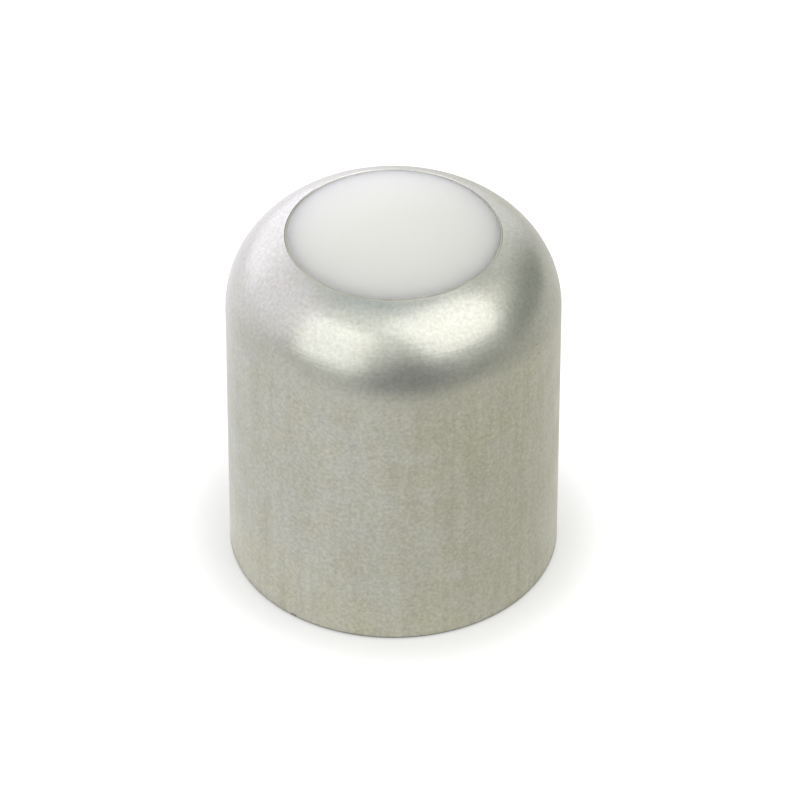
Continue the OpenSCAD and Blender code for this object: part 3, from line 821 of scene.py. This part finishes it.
# %% Opal acrylic
opal, tree, skin, place = new_finish("opal_acrylic")
grain = effect(tree, grain_group, place, Size=0.12, Depth=0.0006)
milk = blend(tree, grain["Tone"], shade(245, 246, 237), shade(247, 248, 239))
wire(tree, skin, Base_Color=milk, Roughness=spread(tree, grain["Tone"], 0.3, 0.7, 0.27, 0.31))
emboss(tree, skin, grain["Height"])
hold(skin, IOR=1.49)
hold(skin, Subsurface_Weight=1.0, Subsurface_Radius=(1.0, 1.0, 0.95), Subsurface_Scale=6.0 * MM)
finish_parts(opal, "diffuser")


# %% [markdown]
# A thin ring of adhesive holds the disc. The CAD part is a plain ring with a level top, but real
# adhesive creeps up the disc and over the edge of the metal, and sinks a little between the two as it
# sets. Its section is drawn as points, a hollow top on the straight ring, and is then carried round
# the axis. Its two edges wander a little, since it was wiped off by hand. All its sizes are in
# millimetres.

# %% The adhesive fillet
disc_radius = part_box("diffuser")[1].x / MM
gap_low, gap_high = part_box("diffuser_bond")
gap_radius = gap_high.x / MM
seat_height = gap_low.z / MM
rim_height = body_high.z / MM
bond_climb = 0.02
bond_lap = 0.08
bond_hollow = 0.08
bond_bends = 6
lap_drop = 0.03
bore_drop = 0.12
climb_wander = 0.015
lap_wander = 0.02
noise_radius = 3
noise_step = 7.3


def wander(turn, channel):
    """A value between about -1 and 1 that changes slowly round the ring and closes on itself."""
    return noise.noise(Vector(ring_point(noise_radius, turn, noise_step * channel)))


def fillet_section(turn):
    """The ring's section: across the seat, up the bore, and over a hollow top back to the disc."""
    climb = rim_height + bond_climb + climb_wander * wander(turn, 1)
    lap = gap_radius + bond_lap + lap_wander * wander(turn, 2)
    lap_height = rim_height - lap_drop
    section = [
        (disc_radius, seat_height),
        (gap_radius, seat_height),
        (gap_radius, rim_height - bore_drop),
    ]
    for bend in range(bond_bends + 1):
        share = bend / bond_bends
        radius = lap + (disc_radius - lap) * share
        sunk = 4 * bond_hollow * share * (1 - share)
        section.append((radius, lap_height + (climb - lap_height) * share - sunk))
    return section


def carried_round(name, section, steps):
    """A closed ring. The section gives its (radius, height) points for a share of a turn."""
    points = []
    for step in range(steps):
        for radius, height in section(step / steps):
            points.append(ring_point(radius, step / steps, height))
    side = len(points) // steps
    faces = []
    for step in range(steps):
        here, there = step * side, (step + 1) % steps * side
        for corner in range(side):
            after = (corner + 1) % side
            faces.append((here + corner, there + corner, there + after, here + after))
    return closed_mesh(name, points, faces)


bond, tree, skin, place = new_finish("grey_adhesive")
grain = effect(tree, grain_group, place, Size=0.3, Depth=0.012)
dust = effect(tree, smudge_group, place, Size=2.5)
grey = blend(tree, dust["Mask"], shade(185, 184, 173), shade(201, 200, 189))
wire(tree, skin, Base_Color=grey, Roughness=spread(tree, grain["Tone"], 0.3, 0.7, 0.5, 0.7))
emboss(tree, skin, grain["Height"])

fillet_mesh = carried_round("adhesive_fillet", fillet_section, steps=240)
adhesive_fillet = bpy.data.objects.new("adhesive_fillet", fillet_mesh)
scene.collection.objects.link(adhesive_fillet)
dress(adhesive_fillet, bond, "bond", "diffuser_bond")


# %% [markdown]
# The screws, the gland's hexagon and its washer are stainless steel: brighter and bluer than the
# can, turned, and rubbed at the corners. The can that holds the sensor, the amplifier's legs and
# the trimmer's rotor are nickel, warmer and smoother, and pins and terminals are plated with gold.
# They differ only in colour, roughness and scale, so one function makes all of them.

# %% Stainless steel, nickel and gold
def plated_metal(name, tones, rough, grain_size, *names):
    """A metal with a fine grain, smudges and rubbed edges. Its tones are dark, light and worn."""
    dark, light, worn = tones
    metal, tree, skin, place = new_finish(name)
    grain = effect(tree, grain_group, place, Size=grain_size, Depth=grain_size * 0.02)
    smudges = effect(tree, smudge_group, place, Size=2.0)
    wear = effect(tree, wear_group, place, Reach=0.1)
    colour = blend(tree, wear["Mask"], blend(tree, grain["Tone"], dark, light), worn)
    roughness = spread(tree, smudges["Mask"], 0, 1, rough, rough + 0.09)
    wire(tree, skin, Base_Color=colour, Roughness=roughness)
    emboss(tree, skin, grain["Height"])
    hold(skin, Metallic=1.0)
    finish_parts(metal, *names)


steel = (shade(170, 171, 172), shade(192, 192, 191), shade(220, 220, 218))
steel_parts = ("base_screws", "gland_nut", "gland_washer", "board_screws")
plated_metal("stainless_steel", steel, 0.22, 0.12, *steel_parts)
nickel = (shade(176, 172, 160), shade(198, 193, 180), shade(222, 217, 204))
plated_metal("nickel_plate", nickel, 0.18, 0.1, "photodiode_can", "amplifier_leads", "trimmer_rotor")
gold = (shade(205, 165, 88), shade(226, 188, 108), shade(242, 212, 145))
plated_metal("gold_plate", gold, 0.16, 0.1, "photodiode_header", "photodiode_pins", "lead_terminals")


# %% [markdown]
# Rubber seals, the black acetal of the filter holder and the moulded bodies on the board are all
# plastics: a base colour, a fine moulded grain, a paler tone where edges are rubbed, and a
# roughness between that of rubber and that of a smooth mould.

# %% Rubber and moulded plastics
def moulded(name, tones, rough, grain_size, *names):
    """A plastic with a moulded grain and rubbed edges. Its tones are dark, light and worn."""
    dark, light, worn = tones
    plastic, tree, skin, place = new_finish(name)
    grain = effect(tree, grain_group, place, Size=grain_size, Depth=grain_size * 0.05)
    smudges = effect(tree, smudge_group, place, Size=3.0)
    wear = effect(tree, wear_group, place, Reach=0.12)
    rubbed = calc(tree, "MULTIPLY", wear["Mask"], 0.6)
    colour = blend(tree, rubbed, blend(tree, grain["Tone"], dark, light), worn)
    roughness = spread(tree, smudges["Mask"], 0, 1, rough, rough + 0.12)
    wire(tree, skin, Base_Color=colour, Roughness=roughness)
    emboss(tree, skin, grain["Height"])
    hold(skin, IOR=1.5)
    finish_parts(plastic, *names)


rubber = (shade(24, 24, 25), shade(38, 38, 39), shade(70, 69, 67))
moulded("black_rubber", rubber, 0.62, 0.2, "gland_bush", "base_seal", "holder_gasket")
acetal = (shade(20, 20, 21), shade(32, 32, 33), shade(64, 64, 64))
moulded("black_acetal", acetal, 0.36, 0.25, "filter_holder", "filter_spacer", "filter_retainer")
epoxy = (shade(27, 27, 29), shade(42, 42, 44), shade(76, 76, 76))
moulded("black_epoxy", epoxy, 0.48, 0.12, "amplifier")
blue = (shade(26, 70, 150), shade(36, 84, 168), shade(92, 132, 196))
moulded("blue_moulding", blue, 0.34, 0.2, "trimmer_case")
yellow = (shade(206, 150, 38), shade(220, 166, 52), shade(236, 196, 110))
moulded("yellow_moulding", yellow, 0.42, 0.2, "tantalum_capacitor")
nylon = (shade(206, 200, 184), shade(220, 215, 200), shade(236, 232, 220))
moulded("natural_nylon", nylon, 0.44, 0.3, "photodiode_pad")


# %% [markdown]
# The two filters and the window are glass. Glass needs transmission and its own index of
# refraction. The first filter absorbs infrared, which tints it a watery blue-green. The second has
# a thin coating that mirrors a little red. The window over the sensor is clear.

# %% Filter glass and window
def filter_glass(name, tint, haze, rough, part):
    """A glass with a faint haze and a polish that isn't quite even."""
    glass, tree, skin, place = new_finish(name)
    smudges = effect(tree, smudge_group, place, Size=2.5)
    wire(tree, skin, Base_Color=blend(tree, smudges["Mask"], tint, haze))
    wire(tree, skin, Roughness=spread(tree, smudges["Mask"], 0, 1, rough, rough + 0.04))
    hold(skin, IOR=1.52, Transmission_Weight=0.9)
    finish_parts(glass, part)


filter_glass("blue_filter_glass", shade(150, 214, 214), shade(160, 220, 220), 0.03, "glass_filter")
filter_glass("coated_filter_glass", shade(222, 176, 204), shade(206, 170, 214), 0.02, "coated_filter")
filter_glass("clear_window_glass", shade(240, 244, 244), shade(232, 238, 240), 0.02, "photodiode_window")


# %% [markdown]
# The sensor chip is polished silicon, a dark blue mirror with a pale contact line round its edge.
# The chip parts are ceramic: black resistors and tan capacitors. Their real ends are tinned, and
# here all their edges carry that pale tone.

# %% Silicon and ceramic
silicon, tree, skin, place = new_finish("silicon")
smudges = effect(tree, smudge_group, place, Size=1.0)
wear = effect(tree, wear_group, place, Reach=0.18)
dark_blue = blend(tree, smudges["Mask"], shade(38, 44, 78), shade(48, 56, 94))
wire(tree, skin, Base_Color=blend(tree, wear["Mask"], dark_blue, shade(190, 190, 186)))
wire(tree, skin, Roughness=spread(tree, smudges["Mask"], 0, 1, 0.1, 0.16))
hold(skin, Metallic=0.6)
finish_parts(silicon, "photodiode_chip")

black_ceramic = (shade(30, 30, 33), shade(44, 44, 47), shade(206, 204, 198))
moulded("resistor_ceramic", black_ceramic, 0.35, 0.08, "resistors")
tan_ceramic = (shade(158, 128, 94), shade(174, 143, 108), shade(212, 208, 200))
moulded("capacitor_ceramic", tan_ceramic, 0.4, 0.08, "capacitors")


# %% [markdown]
# The board is glass-fibre laminate under green solder mask. Its weave shows faintly through the
# mask, copper tracks lie under it a little lighter, and its cut edge is bare yellow laminate. The
# weave is two crossed waves, and the tracks are a noise cut to bands along the board.

# %% Circuit board laminate
weave_pitch = 0.45
weave_height = 0.002
track_bands = 70
track_height = 0.03
laminate, tree, skin, place = new_finish("green_laminate")
apart = put(tree, "ShaderNodeSeparateXYZ", {0: place}).outputs
warp = calc(tree, "SINE", calc(tree, "MULTIPLY", apart["X"], 2 * math.pi / weave_pitch))
weft = calc(tree, "SINE", calc(tree, "MULTIPLY", apart["Y"], 2 * math.pi / weave_pitch))
weave = calc(tree, "MULTIPLY", warp, weft)
flow = put(tree, "ShaderNodeTexNoise", {"Vector": place, "Scale": 0.22, "Detail": 0.0})
bands = calc(tree, "SINE", calc(tree, "MULTIPLY", flow.outputs["Fac"], track_bands))
tracks = spread(tree, bands, 0.55, 0.7, 0, 1)
mask = blend(tree, spread(tree, weave, -1, 1, 0, 1), shade(18, 72, 46), shade(24, 84, 54))
mask = blend(tree, tracks, mask, shade(40, 112, 68))
lying = put(tree, "ShaderNodeNewGeometry").outputs["Normal"]
upright = put(tree, "ShaderNodeSeparateXYZ", {0: lying}).outputs["Z"]
edge_on = spread(tree, calc(tree, "ABSOLUTE", upright), 0.4, 0.6, 1, 0)
wire(tree, skin, Base_Color=blend(tree, edge_on, mask, shade(176, 168, 112)))
wire(tree, skin, Roughness=spread(tree, edge_on, 0, 1, 0.28, 0.7))
woven = calc(tree, "MULTIPLY", weave, weave_height)
raised = calc(tree, "MULTIPLY", tracks, track_height)
emboss(tree, skin, calc(tree, "ADD", woven, raised))
finish_parts(laminate, "circuit_board")
